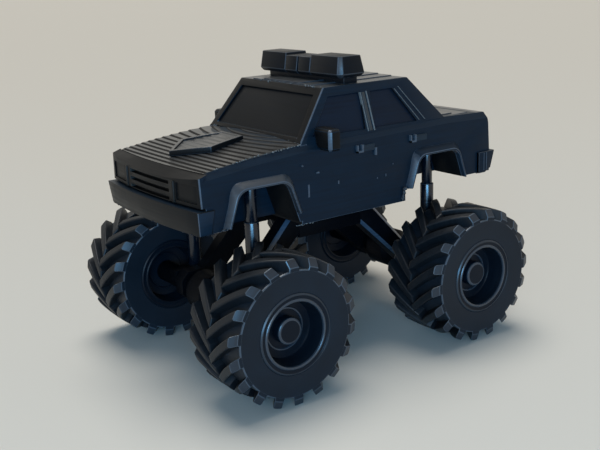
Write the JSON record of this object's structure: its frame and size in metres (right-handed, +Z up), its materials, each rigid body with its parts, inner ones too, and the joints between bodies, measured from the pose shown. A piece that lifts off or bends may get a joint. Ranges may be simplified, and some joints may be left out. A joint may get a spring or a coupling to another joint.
{
  "type": "toy monster truck",
  "caption": "Printed toy: a saloon car body raised on a monster-truck chassis, with tall turning tractor-pattern wheels, fixed shocks and a roof light bar.",
  "frame": {"origin": "on the floor under the middle of the truck's length and width", "axes": "+X forward, +Y to the truck's left, +Z up"},
  "size_m": [0.1079, 0.0838, 0.0842],
  "materials": {
    "body": "satin black printed plastic with fine layer lines",
    "window_panels": "the same black plastic, a little smoother",
    "chassis": "satin black printed plastic",
    "tyres": "satin black printed plastic, hard",
    "rims": "satin black printed plastic"
  },
  "bodies": {
    "truck": {"body_shell": "body", "cabin": "body", "windows": "window_panels", "hood_scoop": "body", "front_bumper": "body", "rear_bumper": "body", "light_bar_base": "body", "light_bar_pod_left": "body", "light_bar_pod_right": "body", "light_bar_middle_left": "body", "light_bar_middle_right": "body", "mirror_left": "body", "mirror_right": "body", "front_axle": "chassis", "rear_axle": "chassis", "chassis_rail_left": "chassis", "chassis_rail_right": "chassis", "chassis_plate": "chassis", "fender_flare_front_left": "body", "door_handle_front_left": "body", "link_arm_front_left": "chassis", "shock_body_front_left": "chassis", "shock_rod_front_left": "chassis", "fender_flare_front_right": "body", "door_handle_front_right": "body", "link_arm_front_right": "chassis", "shock_body_front_right": "chassis", "shock_rod_front_right": "chassis", "fender_flare_rear_left": "body", "door_handle_rear_left": "body", "link_arm_rear_left": "chassis", "shock_body_rear_left": "chassis", "shock_rod_rear_left": "chassis", "fender_flare_rear_right": "body", "door_handle_rear_right": "body", "link_arm_rear_right": "chassis", "shock_body_rear_right": "chassis", "shock_rod_rear_right": "chassis", "grille": "body", "headlight_left": "body", "headlight_right": "body", "tail_light_left": "body", "tail_light_right": "body"},
    "wheel_front_left": {"tyre_front_left": "tyres", "rim_front_left": "rims", "hub_cap_front_left": "rims"},
    "wheel_front_right": {"tyre_front_right": "tyres", "rim_front_right": "rims", "hub_cap_front_right": "rims"},
    "wheel_rear_left": {"tyre_rear_left": "tyres", "rim_rear_left": "rims", "hub_cap_rear_left": "rims"},
    "wheel_rear_right": {"tyre_rear_right": "tyres", "rim_rear_right": "rims", "hub_cap_rear_right": "rims"}
  },
  "joints": [
    {"name": "front_left_wheel_spin", "type": "hinge", "parent": "truck", "child": "wheel_front_left", "pos_m": [0.03415, 0.0317, 0.0198], "axis": [0, 1, 0], "continuous": true},
    {"name": "front_right_wheel_spin", "type": "hinge", "parent": "truck", "child": "wheel_front_right", "pos_m": [0.03415, -0.0317, 0.0198], "axis": [0, 1, 0], "continuous": true},
    {"name": "rear_left_wheel_spin", "type": "hinge", "parent": "truck", "child": "wheel_rear_left", "pos_m": [-0.03255, 0.0317, 0.0198], "axis": [0, 1, 0], "continuous": true},
    {"name": "rear_right_wheel_spin", "type": "hinge", "parent": "truck", "child": "wheel_rear_right", "pos_m": [-0.03255, -0.0317, 0.0198], "axis": [0, 1, 0], "continuous": true}
  ]
}
